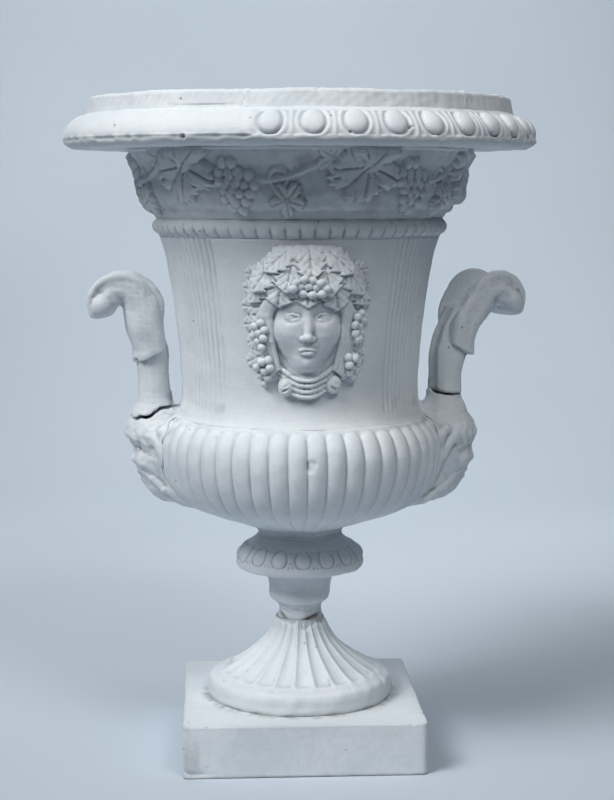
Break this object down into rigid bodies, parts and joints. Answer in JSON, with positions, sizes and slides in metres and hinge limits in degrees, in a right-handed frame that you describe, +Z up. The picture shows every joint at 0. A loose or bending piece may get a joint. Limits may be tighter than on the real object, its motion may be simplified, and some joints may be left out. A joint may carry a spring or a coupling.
{
  "type": "urn vase",
  "caption": "Footed campana urn in cast plaster with a gadrooned bowl, reeded drum, egg-and-dart rim, vine-wreathed masks and outward-curling leaf handles.",
  "frame": {"origin": "centre of the plinth's underside", "axes": "+Z up along the urn's axis, -Y towards the front mask, +X towards the right handle"},
  "size_m": [0.4274, 0.429, 0.6],
  "materials": {
    "painted_plaster": "matte white paint",
    "iron": "rusted",
    "steel": "dull zinc"
  },
  "bodies": {
    "root": {"plinth": "painted_plaster", "foot": "painted_plaster", "stem": "painted_plaster", "knop": "painted_plaster", "bowl": "painted_plaster", "drum": "painted_plaster", "bead_moulding": "painted_plaster", "vine_frieze": "painted_plaster", "rim": "painted_plaster", "rim_collar": "painted_plaster", "front_mask": "painted_plaster", "back_mask": "painted_plaster", "left_handle_mask": "painted_plaster", "right_handle_mask": "painted_plaster", "left_handle": "painted_plaster", "right_handle": "painted_plaster", "left_handle_dowel": "iron", "right_handle_dowel": "iron", "tie_rod": "steel", "tie_rod_nuts": "steel", "tie_rod_washers": "steel"}
  },
  "joints": []
}
